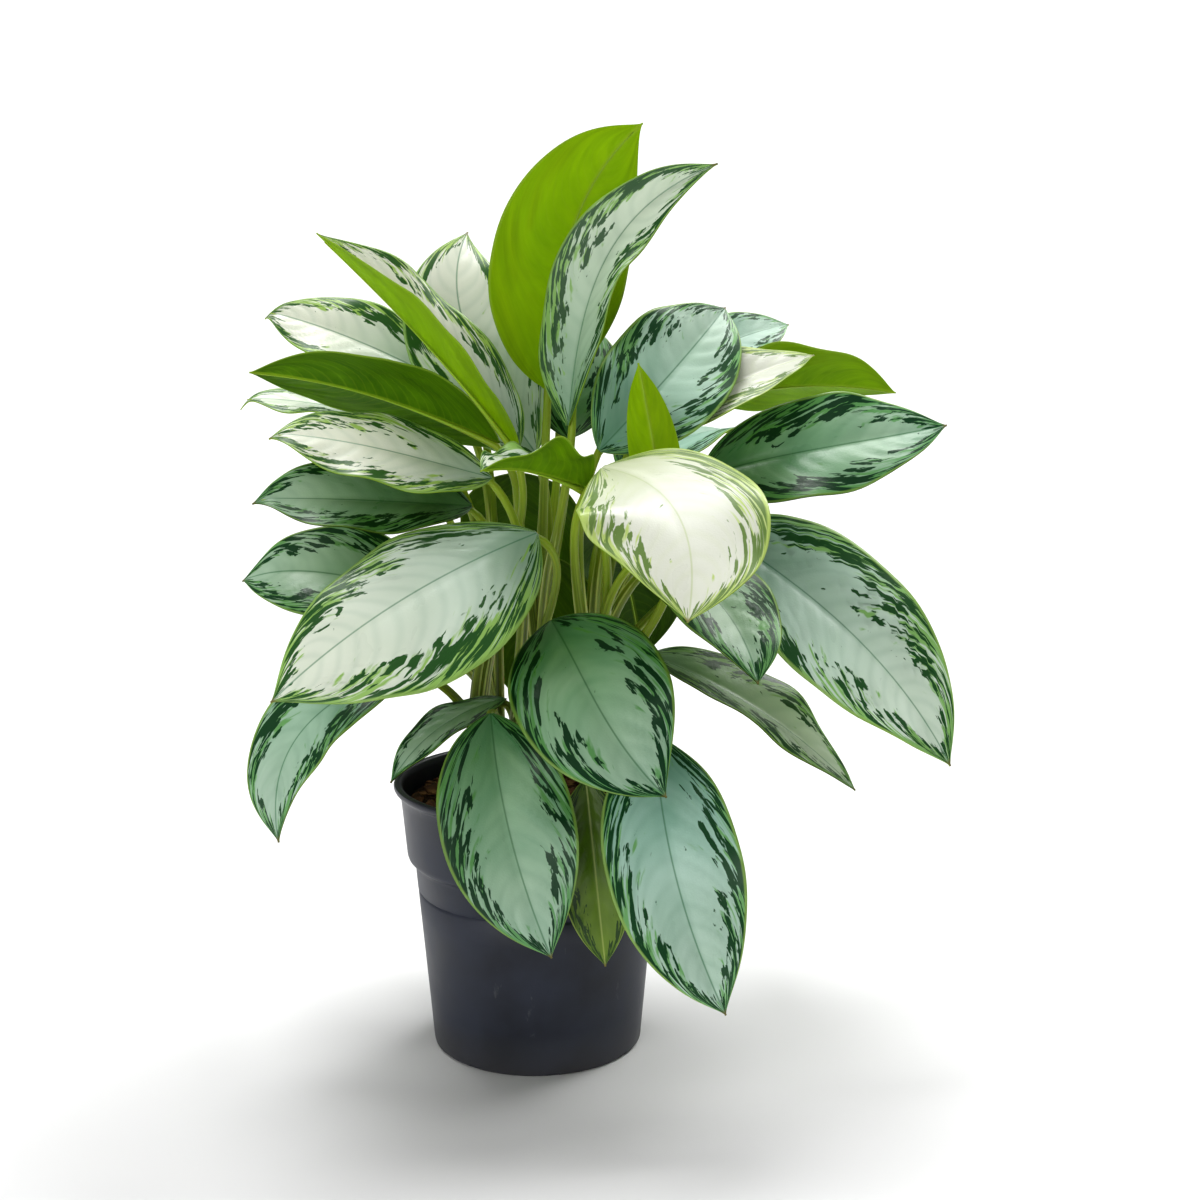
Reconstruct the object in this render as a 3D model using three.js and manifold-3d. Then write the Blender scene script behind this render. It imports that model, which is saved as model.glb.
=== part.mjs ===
// Potted Chinese evergreen: a silver variegated Aglaonema in a plain plastic nursery pot.
// Units are millimetres and +Z is up. The origin is the middle of the pot's underside,
// which stands on the floor, and the front of the plant looks along -Y.

import * as THREE from 'three';
import { mergeVertices } from 'three/addons/utils/BufferGeometryUtils.js';
import Module from 'manifold-3d';

const wasm = await Module();
wasm.setup();

// ---- Driving dimensions ----------------------------------------------------------------

const clearance = 0.35; // gap kept between neighbouring pieces

const pot = {
  sides: 40,
  height: 181.5,
  rimRadius: 95, // outer edge of the rolled rim
  rimHeight: 4,
  rimRound: 1.2, // how far its upper edge is rounded off
  collarTopRadius: 90.5,
  collarFootRadius: 86.6,
  collarFootHeight: 133,
  wallTopRadius: 81.6, // just under the collar
  wallTopHeight: 127,
  baseRadius: 70.2,
  baseBevel: 2,
  ridgeHeight: 108, // faint step where pots stop when they are nested
  ridgeDepth: 1,
  wall: 2,
  floor: 3,
  drainHoles: 6,
  drainHoleRadius: 5,
  drainHoleSides: 12,
  drainCircleRadius: 48,
};

const soil = {
  rings: 4,
  edgeHeight: 167,
  crown: 3, // how much higher the middle is than the edge
  lump: 1.6,
  settle: 0.5, // how much further it stands off the wall where the wall bends
};

const cane = {
  sides: 8,
  radius: 6.5,
  depthInSoil: 45,
  steps: 6,
  ringSwell: 0.5, // swelling at each leaf scar
};

const petiole = {
  sides: 6,
  steps: 5,
  sheathRadius: 4.6, // where the sheath wraps the cane
  radius: 2.6,
  overhang: 0.8, // how level the petiole is where the blade hangs from it
  midribRadius: 0.9, // at its far end, under the blade
  midribRows: 3, // rows of the blade's grid that the midrib runs under
};

const blade = {
  thickness: 0.9,
  stepsAlong: 10,
  stepsAcross: 4,
  widestAt: 0.46, // share of the length where the blade is widest
  baseRound: 2.4,
  basePower: 0.75,
  tipPower: 2.2,
  dripPower: 14, // draws the last bit out to a point
  neckWidth: 4.4, // width where the petiole meets the blade
  tipWidth: 1.2,
  waves: 2.5, // waves of the edge in one length
};

const finish = {
  pot: { color: 0x34373d, roughness: 0.5, metalness: 0 },
  soil: { color: 0x5d4531, roughness: 0.95, metalness: 0 },
  stem: { color: 0x8fb04a, roughness: 0.5, metalness: 0 },
  silver: { color: 0x9dbfa9, roughness: 0.4, metalness: 0 },
  pale: { color: 0xdfe8dc, roughness: 0.4, metalness: 0 },
  young: { color: 0x86b52c, roughness: 0.4, metalness: 0 },
};

// Each shoot is a short cane: where it leaves the soil, and where its top is.
const shoots = {
  a: { foot: [2, 14], top: [4, 12, 250] },
  b: { foot: [-36, 2], top: [-42, 2, 214] },
  c: { foot: [-12, -36], top: [-12, -42, 206] },
  d: { foot: [36, -14], top: [42, -18, 212] },
  e: { foot: [34, 38], top: [42, 46, 226] },
  f: { foot: [-26, 46], top: [-32, 54, 226] },
};

// Each leaf: its shoot, the blade's base and tip, the way its upper side faces, its width,
// arch (lift of the spine at one and two thirds), bow (the same sideways) and fold (degrees
// that each half is raised), then what differs from the plainLeaf below.
const leaves = [
  leaf('a', [8, 8, 440], [70, 20, 608], [-3, 10, 2], 94, [10, 10], [14, 32], 12),
  leaf('a', [23, -38, 420], [115, -30, 580], [-4, -10, 3], 60, [0, 0], [-32, -58], 28, { twist: [-30, 5] }),
  leaf('a', [0, 30, 396], [-47, 80, 541], [0, -10, 3], 84, [12, 40], [-18, -36], 14),
  leaf('b', [-9, -30, 404], [-132, -34, 538], [7, -2, 7], 78, [6, 4], [0, 0], 46),
  leaf('f', [-59, 50, 440], [-184, 60, 489], [1, -8, 7], 62, [10, 12], [0, 0], 12),
  leaf('b', [-22, -8, 406], [-179, -20, 452], [0, 6, 8], 78, [10, 14], [0, 0], 14),
  leaf('f', [-73, 60, 406], [-202, 60, 430], [0, -3, 9], 50, [8, 10], [0, 0], 12),
  leaf('c', [-25, -44, 388], [-158, -74, 418], [0, -6, 9], 68, [4, 10], [0, 0], 8),
  leaf('b', [-40, -12, 366], [-174, -50, 375], [0, -6, 8], 70, [2, 4], [0, 0], 18),
  leaf('f', [-64, 24, 299], [-200, 40, 308], [-1, -7, 6], 76, [14, 40], [0, 0], 12),
  leaf('c', [4, -72, 357], [-148, -150, 269], [-1, -7, 6], 104, [16, 20], [4, 4], 4, { oblique: -0.2 }),
  leaf('b', [-79, -40, 267], [-159, -80, 162], [-4, -6, 5], 66, [22, 22], [22, 46], 16),
  leaf('c', [-19, -30, 243], [-87, -88, 203], [-3, -4, 8], 34, [14, 18], [0, 0], 12),
  leaf('c', [-24, -95, 249], [14, -150, 113], [0, -9, 3], 82, [12, 10], [8, 8], 14),
  leaf('c', [13, -85, 305], [81, -170, 218], [-1, -8, 6], 94, [14, 16], [2, 14], 14),
  leaf('d', [77, -84, 232], [118, -150, 77], [1, -9, 3], 84, [14, 14], [14, 14], 14),
  leaf('d', [34, -100, 209], [46, -110, 92], [0, -9, 2], 46, [4, 4], [0, 0], 14, { finish: 'young' }),
  leaf('d', [74, -45, 275], [205, -60, 190], [1, -3, 10], 66, [14, 14], [0, 0], 18),
  leaf('e', [116, 0, 350], [265, -60, 206], [3, -8, 6], 106, [18, 22], [-8, -14], 14),
  leaf('d', [44, -80, 398], [91, -190, 324], [1, -6, 8], 112, [22, 16], [-30, -26], 10,
    { oblique: 0.06, finish: 'pale' }),
  leaf('d', [71, -62, 345], [134, -150, 280], [3, -6, 7], 72, [12, 14], [-10, -14], 14),
  leaf('e', [109, 20, 381], [267, 0, 417], [1, -8, 7], 80, [12, 14], [0, 10], 14),
  leaf('e', [106, 74, 426], [248, 90, 432], [1, 6, 8], 78, [12, 14], [0, 0], 20),
  leaf('d', [42, -36, 404], [127, 60, 491], [2, -8, 5], 80, [14, 14], [4, 4], 18),
  leaf('a', [22, 50, 404], [26, 96, 484], [0, -8, 3], 66, [8, 10], [0, 0], 14),
  leaf('e', [88, 72, 446], [176, 120, 478], [0, -6, 8], 52, [8, 8], [0, 0], 12),
  leaf('e', [68, 6, 405], [185, 40, 460], [1, -4, 9], 60, [10, 12], [0, 0], 20, { finish: 'pale' }),
  leaf('d', [88, -50, 344], [66, -62, 460], [0, 1, 0], 40, [2, 2], [0, 0], 44, { finish: 'young' }),
  leaf('d', [33, -60, 384], [-27, -118, 400], [0, 1, 9], 62, [4, 8], [0, 0], 34),
  leaf('e', [64, 92, 372], [150, 205, 392], [3, 4, 8], 84, [18, 20], [0, 0], 14),
  leaf('f', [-66, 98, 350], [-136, 200, 330], [-3, 4, 8], 84, [18, 20], [0, 0], 14),
  leaf('a', [14, 84, 406], [18, 214, 456], [0, 2, 10], 84, [18, 20], [0, 0], 14),
  leaf('e', [100, 84, 300], [196, 168, 228], [5, 4, 6], 84, [18, 20], [0, 0], 14),
  leaf('f', [-84, 74, 268], [-178, 140, 190], [-5, 4, 6], 80, [18, 20], [0, 0], 14),
  leaf('f', [-60, 104, 316], [-96, 186, 210], [-2, 7, 5], 84, [18, 20], [0, 0], 14),
  leaf('e', [46, 92, 338], [74, 178, 224], [2, 7, 5], 86, [18, 20], [0, 0], 14),
  leaf('f', [-40, 70, 440], [-92, 150, 505], [-2, 3, 8], 70, [14, 14], [0, 0], 14),
  leaf('e', [78, 64, 334], [146, 156, 300], [4, 3, 8], 80, [16, 18], [0, 0], 14),
  leaf('f', [-70, 62, 326], [-156, 126, 292], [-3, 3, 8], 80, [16, 18], [0, 0], 14),
  leaf('a', [-14, 58, 380], [-12, 120, 272], [0, 8, 5], 86, [14, 16], [0, 0], 10),
  leaf('a', [4, 46, 326], [-8, 100, 202], [0, 9, 3], 84, [12, 14], [0, 0], 12),
];

// ---- Outline and surface of a blade ----------------------------------------------------

function leaf(shoot, base, tip, face, width, arch, bow, fold, other) {
  const plainLeaf = {
    twist: [0, 0], // degrees that the blade is turned about its spine at its base and tip
    curl: -14, // degrees that the edges are bent, down if negative
    wave: 1.2, // height of the waves of the edge
    oblique: 0, // share by which one half is wider than the mean, and the other narrower
    finish: 'silver',
  };
  return { shoot, base, tip, face, width, arch, bow, fold, ...plainLeaf, ...other };
}

// Half the blade's width at share u of its length, for a blade one unit wide.
function bladeOutline(u) {
  if (u < blade.widestAt) {
    const back = (blade.widestAt - u) / blade.widestAt;
    return 0.5 * (1 - back ** blade.baseRound) ** blade.basePower;
  }
  const ahead = (u - blade.widestAt) / (1 - blade.widestAt);
  return 0.5 * (1 - ahead ** blade.tipPower) * (1 - 0.5 * ahead ** blade.dripPower);
}

// The blade's spine, and the sideways and upward directions that it is shaped in.
function bladeSpine(shape) {
  const base = new THREE.Vector3(...shape.base);
  const tip = new THREE.Vector3(...shape.tip);
  const along = tip.clone().sub(base).normalize();
  const side = along.clone().cross(new THREE.Vector3(...shape.face)).normalize();
  const up = side.clone().cross(along);
  const control = (share, arch, bow) => base.clone().lerp(tip, share)
    .addScaledVector(up, arch)
    .addScaledVector(side, bow);
  const near = control(1 / 3, shape.arch[0], shape.bow[0]);
  const far = control(2 / 3, shape.arch[1], shape.bow[1]);
  const curve = new THREE.CubicBezierCurve3(base, near, far, tip);
  return { curve, up };
}

// Directions at share u of the spine: ahead to the tip, up from the upper side, and sideways.
function spineFrame(shape, spine, u) {
  const ahead = spine.curve.getTangent(u);
  const up = spine.up.clone().addScaledVector(ahead, -spine.up.dot(ahead)).normalize();
  const roll = THREE.MathUtils.degToRad(THREE.MathUtils.lerp(...shape.twist, u));
  up.applyAxisAngle(ahead, roll);
  const side = ahead.clone().cross(up);
  return { ahead, up, side };
}

// Middle of the blade's thickness at share u of its length and v from -1 to 1 across it.
function bladePoint(shape, spine, u, v) {
  const { up, side } = spineFrame(shape, spine, u);
  const ends = THREE.MathUtils.lerp(blade.neckWidth, blade.tipWidth, u) / 2;
  const unequal = 1 + shape.oblique * Math.sign(v);
  const halfWidth = Math.max(shape.width * unequal * bladeOutline(u), ends);
  const rise = THREE.MathUtils.degToRad(shape.fold + shape.curl * Math.abs(v) / 2);
  const wave = shape.wave * Math.sin(2 * Math.PI * blade.waves * u + Math.sign(v)) * v * v;
  const across = halfWidth * v * Math.cos(rise);
  const lift = halfWidth * Math.abs(v) * Math.sin(rise) + wave * 2 * bladeOutline(u);
  return spine.curve.getPoint(u).addScaledVector(side, across).addScaledVector(up, lift);
}

function bladeNormal(shape, spine, u, v) {
  const small = 0.01;
  const u0 = Math.max(u - small, 0);
  const u1 = Math.min(u + small, 1);
  const alongU = bladePoint(shape, spine, u1, v).sub(bladePoint(shape, spine, u0, v));
  const alongV = bladePoint(shape, spine, u, v + small).sub(bladePoint(shape, spine, u, v - small));
  return alongV.cross(alongU).normalize();
}

// ---- Closed meshes ---------------------------------------------------------------------

function closedGeometry(points, triangles) {
  const geometry = new THREE.BufferGeometry();
  const places = points.flatMap((point) => point.toArray());
  geometry.setAttribute('position', new THREE.Float32BufferAttribute(places, 3));
  geometry.setIndex(triangles.flat());
  return geometry;
}

// A blade: one grid of points for its upper side and the same grid for its underside, split
// into triangles alike and joined by a narrow edge all round.
function bladeGeometry(shape) {
  const spine = bladeSpine(shape);
  const rows = blade.stepsAlong;
  const columns = blade.stepsAcross;
  const upper = [];
  const under = [];
  for (let row = 0; row <= rows; row += 1) {
    for (let column = 0; column <= columns; column += 1) {
      const u = row / rows;
      const v = 2 * column / columns - 1;
      const middle = bladePoint(shape, spine, u, v);
      const offset = bladeNormal(shape, spine, u, v).multiplyScalar(blade.thickness / 2);
      upper.push(middle.clone().add(offset));
      under.push(middle.clone().sub(offset));
    }
  }
  const top = (row, column) => row * (columns + 1) + column;
  const bottom = (row, column) => top(row, column) + upper.length;
  const triangles = [];
  for (let row = 0; row < rows; row += 1) {
    for (let column = 0; column < columns; column += 1) {
      for (const cell of splitCell(row, column, column < columns / 2)) {
        triangles.push(cell.map(([r, c]) => top(r, c)));
        triangles.push(cell.map(([r, c]) => bottom(r, c)).reverse());
      }
    }
    triangles.push([top(row, 0), top(row + 1, 0), bottom(row + 1, 0)]);
    triangles.push([top(row, 0), bottom(row + 1, 0), bottom(row, 0)]);
    triangles.push([top(row, columns), bottom(row + 1, columns), top(row + 1, columns)]);
    triangles.push([top(row, columns), bottom(row, columns), bottom(row + 1, columns)]);
  }
  for (let column = 0; column < columns; column += 1) {
    triangles.push([top(0, column), bottom(0, column), bottom(0, column + 1)]);
    triangles.push([top(0, column), bottom(0, column + 1), top(0, column + 1)]);
    triangles.push([top(rows, column), bottom(rows, column + 1), bottom(rows, column)]);
    triangles.push([top(rows, column), top(rows, column + 1), bottom(rows, column + 1)]);
  }
  return closedGeometry([...upper, ...under], triangles);
}

// The two triangles of a grid cell, with the diagonal mirrored on the two halves of a blade.
function splitCell(row, column, mirrored) {
  const near = [row, column];
  const nearRight = [row, column + 1];
  const far = [row + 1, column];
  const farRight = [row + 1, column + 1];
  if (mirrored) {
    return [[near, nearRight, far], [nearRight, farRight, far]];
  }
  return [[near, nearRight, farRight], [near, farRight, far]];
}

// A tube through the points, with a radius at each and a frame that doesn't spin.
function tubeGeometry(points, radii, sides) {
  const last = points.length - 1;
  const tangents = points.map((point, i) => points[Math.min(i + 1, last)].clone()
    .sub(points[Math.max(i - 1, 0)]).normalize());
  const normal = new THREE.Vector3(0, 1, 0).cross(tangents[0]).normalize();
  const vertices = [];
  points.forEach((point, i) => {
    if (i > 0) {
      normal.applyQuaternion(new THREE.Quaternion().setFromUnitVectors(tangents[i - 1], tangents[i]));
    }
    for (let side = 0; side < sides; side += 1) {
      const spoke = normal.clone().applyAxisAngle(tangents[i], 2 * Math.PI * side / sides);
      vertices.push(point.clone().addScaledVector(spoke, radii[i]));
    }
  });
  const triangles = [];
  for (let ring = 0; ring < last; ring += 1) {
    for (let side = 0; side < sides; side += 1) {
      const next = (side + 1) % sides;
      const [a, b] = [ring * sides + side, ring * sides + next];
      triangles.push([a, b, b + sides], [a, b + sides, a + sides]);
    }
  }
  for (let side = 1; side < sides - 1; side += 1) {
    triangles.push([0, side + 1, side]);
    triangles.push([last * sides, last * sides + side, last * sides + side + 1]);
  }
  return closedGeometry(vertices, triangles);
}

function toSolid(geometry) {
  const bare = geometry.clone();
  bare.deleteAttribute('normal');
  bare.deleteAttribute('uv');
  const merged = mergeVertices(bare, 1e-4);
  return new wasm.Manifold(new wasm.Mesh({
    numProp: 3,
    vertProperties: new Float32Array(merged.attributes.position.array),
    triVerts: new Uint32Array(merged.index.array),
  }));
}

function fromSolid(solid) {
  const { vertProperties, triVerts } = solid.getMesh();
  const geometry = new THREE.BufferGeometry();
  geometry.setAttribute('position', new THREE.BufferAttribute(vertProperties, 3));
  geometry.setIndex(new THREE.BufferAttribute(triVerts, 1));
  return geometry;
}

// ---- Pot and soil ----------------------------------------------------------------------

// Outer radius of the pot's wall below its collar.
function wallRadius(height) {
  return THREE.MathUtils.mapLinear(height, 0, pot.wallTopHeight, pot.baseRadius, pot.wallTopRadius);
}

function potGeometry() {
  const ridge = pot.ridgeHeight;
  const rimFoot = pot.height - pot.rimHeight;
  const outline = [
    [0, 0],
    [pot.baseRadius - pot.baseBevel, 0],
    [wallRadius(pot.baseBevel), pot.baseBevel],
    [wallRadius(ridge) - pot.ridgeDepth, ridge],
    [wallRadius(ridge), ridge + pot.ridgeDepth],
    [pot.wallTopRadius, pot.wallTopHeight],
    [pot.collarFootRadius, pot.collarFootHeight],
    [pot.collarTopRadius, rimFoot - pot.rimHeight],
    [pot.rimRadius - pot.rimRound, rimFoot],
    [pot.rimRadius, pot.height - pot.rimHeight / 2],
    [pot.rimRadius - pot.rimRound, pot.height],
    [pot.collarTopRadius, pot.height],
    [pot.collarTopRadius - pot.wall, rimFoot - pot.rimHeight],
    [pot.collarFootRadius - pot.wall, pot.collarFootHeight + pot.wall],
    [pot.wallTopRadius - pot.wall, pot.wallTopHeight],
    [wallRadius(pot.floor) - pot.wall, pot.floor],
    [0, pot.floor],
  ];
  const shell = toSolid(new THREE.LatheGeometry(outline.map(([r, z]) => new THREE.Vector2(r, z)), pot.sides)
    .rotateX(Math.PI / 2));
  const holes = [];
  for (let hole = 0; hole < pot.drainHoles; hole += 1) {
    const turn = 2 * Math.PI * (hole + 0.5) / pot.drainHoles;
    const { drainHoleRadius, drainHoleSides } = pot;
    const drill = new THREE.CylinderGeometry(drainHoleRadius, drainHoleRadius, 4 * pot.floor, drainHoleSides);
    drill.rotateX(Math.PI / 2);
    drill.translate(pot.drainCircleRadius * Math.cos(turn), pot.drainCircleRadius * Math.sin(turn), 0);
    holes.push(toSolid(drill));
  }
  return fromSolid(shell.subtract(wasm.Manifold.union(holes)));
}

// Inner radius of the pot at a height, less the gap that the soil keeps to it.
function soilRadius(height) {
  const inside = pot.wall + clearance;
  if (height < pot.wallTopHeight) {
    return wallRadius(height) - inside - soil.settle;
  }
  return pot.collarFootRadius - inside;
}

function soilGeometry() {
  const stepHeight = pot.collarFootHeight + pot.wall + clearance;
  const outline = [
    [0, pot.floor + clearance],
    [soilRadius(pot.floor) - soil.settle, pot.floor + clearance],
    [soilRadius(pot.wallTopHeight - 1), pot.wallTopHeight - 1],
    [soilRadius(stepHeight) - 2 * soil.settle, stepHeight],
  ];
  const topRadius = soilRadius(soil.edgeHeight);
  for (let ring = soil.rings; ring >= 0; ring -= 1) {
    const share = ring / soil.rings;
    outline.push([topRadius * share, soil.edgeHeight + soil.crown * (1 - share ** 2)]);
  }
  const geometry = new THREE.LatheGeometry(outline.map(([r, z]) => new THREE.Vector2(r, z)), pot.sides);
  geometry.rotateX(Math.PI / 2);
  const place = geometry.attributes.position;
  for (let i = 0; i < place.count; i += 1) {
    const [x, y, z] = [place.getX(i), place.getY(i), place.getZ(i)];
    if (z > soil.edgeHeight - 1) {
      const lump = Math.sin(0.11 * x + 0.9) * Math.sin(0.13 * y + 0.4) + Math.sin(0.23 * x - 0.19 * y);
      place.setZ(i, z + soil.lump * lump / 2);
    }
  }
  const holes = Object.values(shoots).map((shoot) => toSolid(caneGeometry(shoot, clearance)));
  return fromSolid(toSolid(geometry).subtract(wasm.Manifold.union(holes)));
}

// ---- Shoots ----------------------------------------------------------------------------

// Place on the middle line of a shoot's cane, at share 0 (its foot in the soil) to 1 (its top).
function canePoint(shoot, share) {
  const foot = new THREE.Vector3(...shoot.foot, soil.edgeHeight - cane.depthInSoil);
  const surface = new THREE.Vector3(...shoot.foot, soil.edgeHeight);
  const top = new THREE.Vector3(...shoot.top);
  return new THREE.QuadraticBezierCurve3(foot, surface, top).getPoint(share);
}

function caneGeometry(shoot, margin) {
  const points = [];
  const radii = [];
  for (let step = 0; step <= cane.steps; step += 1) {
    points.push(canePoint(shoot, step / cane.steps));
    radii.push(cane.radius + (step % 2) * cane.ringSwell + margin);
  }
  if (margin > 0) {
    points[0].z -= margin;
  }
  return tubeGeometry(points, radii, cane.sides);
}

// A petiole with its sheath sunk into the cane, rising and bending over to its blade, and
// running on under the blade as the midrib, just clear of it.
function petioleGeometry(shape, shoot, share) {
  const spine = bladeSpine(shape);
  const start = canePoint(shoot, share);
  const end = bladePoint(shape, spine, 0, 0);
  const reach = start.distanceTo(end);
  const ahead = spineFrame(shape, spine, 0).ahead;
  ahead.z += petiole.overhang;
  ahead.normalize();
  const curve = new THREE.CubicBezierCurve3(
    start,
    start.clone().add(new THREE.Vector3(0, 0, reach * 0.5)),
    end.clone().addScaledVector(ahead, -reach * 0.3),
    end);
  const points = [];
  const radii = [];
  for (let step = 0; step < petiole.steps; step += 1) {
    const along = step / petiole.steps;
    points.push(curve.getPoint(along));
    radii.push(THREE.MathUtils.lerp(petiole.sheathRadius, petiole.radius, Math.sqrt(along)));
  }
  for (let row = 0; row <= petiole.midribRows; row += 1) {
    const along = row / petiole.midribRows;
    const u = row / blade.stepsAlong;
    const radius = THREE.MathUtils.lerp(petiole.radius, petiole.midribRadius, along);
    const { up } = spineFrame(shape, spine, u);
    points.push(bladePoint(shape, spine, u, 0)
      .addScaledVector(up, -(blade.thickness / 2 + clearance + radius)));
    radii.push(radius);
  }
  return tubeGeometry(points, radii, petiole.sides);
}

// One shoot: its cane with the petioles of its leaves grown together with it.
function shootGeometry(key) {
  const shoot = shoots[key];
  const own = leaves.filter((shape) => shape.shoot === key);
  const petioles = own.map((shape, i) => {
    const share = THREE.MathUtils.mapLinear(i, 0, own.length - 1 || 1, 0.95, 0.6);
    return toSolid(petioleGeometry(shape, shoot, share));
  });
  return fromSolid(wasm.Manifold.union([toSolid(caneGeometry(shoot, 0)), ...petioles]));
}

// ---- The plant and its pot -------------------------------------------------------------

const plant = new THREE.Group();

function addPiece(name, geometry, look) {
  const mesh = new THREE.Mesh(geometry, new THREE.MeshStandardMaterial(look));
  mesh.name = name;
  plant.add(mesh);
}

addPiece('pot', potGeometry(), finish.pot);
addPiece('soil', soilGeometry(), finish.soil);
Object.keys(shoots).forEach((key, i) => {
  addPiece(`stem_${i + 1}`, shootGeometry(key), finish.stem);
});
leaves.forEach((shape, i) => {
  addPiece(`leaf_${String(i + 1).padStart(2, '0')}`, bladeGeometry(shape), finish[shape.finish]);
});

export default plant;
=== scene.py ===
import math
import random

import bpy
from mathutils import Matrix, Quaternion, Vector, noise


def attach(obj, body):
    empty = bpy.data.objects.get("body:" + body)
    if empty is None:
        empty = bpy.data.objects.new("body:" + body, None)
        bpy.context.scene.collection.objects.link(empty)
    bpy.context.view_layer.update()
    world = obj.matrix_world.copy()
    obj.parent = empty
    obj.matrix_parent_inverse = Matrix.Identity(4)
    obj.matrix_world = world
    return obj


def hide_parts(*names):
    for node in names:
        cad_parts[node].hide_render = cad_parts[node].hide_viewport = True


# A silver variegated Chinese evergreen in a plastic nursery pot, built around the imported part.
# Lengths in the tables are millimetres, everything in the scene is metres.

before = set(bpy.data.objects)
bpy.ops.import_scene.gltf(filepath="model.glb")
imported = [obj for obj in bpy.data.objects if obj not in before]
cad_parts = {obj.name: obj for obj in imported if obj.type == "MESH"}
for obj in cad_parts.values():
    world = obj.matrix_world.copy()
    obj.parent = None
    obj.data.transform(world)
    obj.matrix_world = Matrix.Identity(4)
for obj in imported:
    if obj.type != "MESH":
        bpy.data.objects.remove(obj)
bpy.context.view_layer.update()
mm = 0.001
print("frame loaded:", len(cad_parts), "nodes")


# Helpers for modelling

def deselectAll():
    if bpy.context.object and bpy.context.object.mode != "OBJECT":
        bpy.ops.object.mode_set(mode="OBJECT")
    bpy.ops.object.select_all(action="DESELECT")


def makeActive(piece):
    deselectAll()
    piece.select_set(True)
    bpy.context.view_layer.objects.active = piece


def applyModifier(piece, kind, **settings):
    makeActive(piece)
    modifier = piece.modifiers.new(kind.title(), kind)
    for key, value in settings.items():
        setattr(modifier, key, value)
    bpy.ops.object.modifier_apply(modifier=modifier.name)


def joinPieces(name, pieces):
    makeActive(pieces[0])
    for piece in pieces[1:]:
        piece.select_set(True)
    bpy.ops.object.join()
    joined = bpy.context.object
    joined.name = joined.data.name = name
    return joined


def smoothByAngle(piece, degrees):
    makeActive(piece)
    bpy.ops.object.shade_smooth_by_angle(angle=math.radians(degrees))


def mixed(a, b, share):
    return a + (b - a) * share


def eased(low, high, value):
    share = min(max((value - low) / (high - low), 0), 1)
    return share * share * (3 - 2 * share)


# Helpers for materials

def linear(code):  # sRGB hex to the linear colour that a socket takes
    channels = [int(code[i:i + 2], 16) / 255 for i in (1, 3, 5)]
    return [c / 12.92 if c <= 0.04045 else ((c + 0.055) / 1.055) ** 2.4 for c in channels] + [1]


def newMaterial(name):
    material = bpy.data.materials.new(name)
    material.use_nodes = True
    material.node_tree.nodes.clear()
    return material, material.node_tree


def addNode(tree, kind, settings, inputs):
    node = tree.nodes.new(kind)
    for key, value in settings.items():
        setattr(node, key, value)
    for key, value in inputs.items():
        if isinstance(value, bpy.types.NodeSocket):
            tree.links.new(value, node.inputs[key])
        else:
            node.inputs[key].default_value = value
    return node


def setRamp(node, stops):
    ramp = node.color_ramp
    while len(ramp.elements) < len(stops):
        ramp.elements.new(0.5)
    for element, (place, colour) in zip(ramp.elements, stops):
        element.position = place
        element.color = colour if isinstance(colour, list) else [colour] * 3 + [1]


# The leaves, as in the part: shoot, base, tip, way the upper side faces, width, arch, bow, fold.
# Then what sets a leaf apart: twist turns it at its base and tip, curl bends its halves, oblique
# makes them unequal, pale whitens the blade, a painted backlight glow brightens its underside,
# painted shade dulls it and greys it towards olive, wave ruffles its edges, hook curls its tip,
# streaks widens the streaked band of each half and quilt is how much the blade swells between its
# veins.

plainLeaf = {"twist": (0, 0), "curl": -14, "wave": 1.2, "oblique": 0, "skin": "silver",
             "pale": 0.1, "paintedBacklight": 0.35, "oliveAndPaintedShade": 0, "hook": 0, "streaks": (0, 0), "quilt": 0.8}

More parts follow.
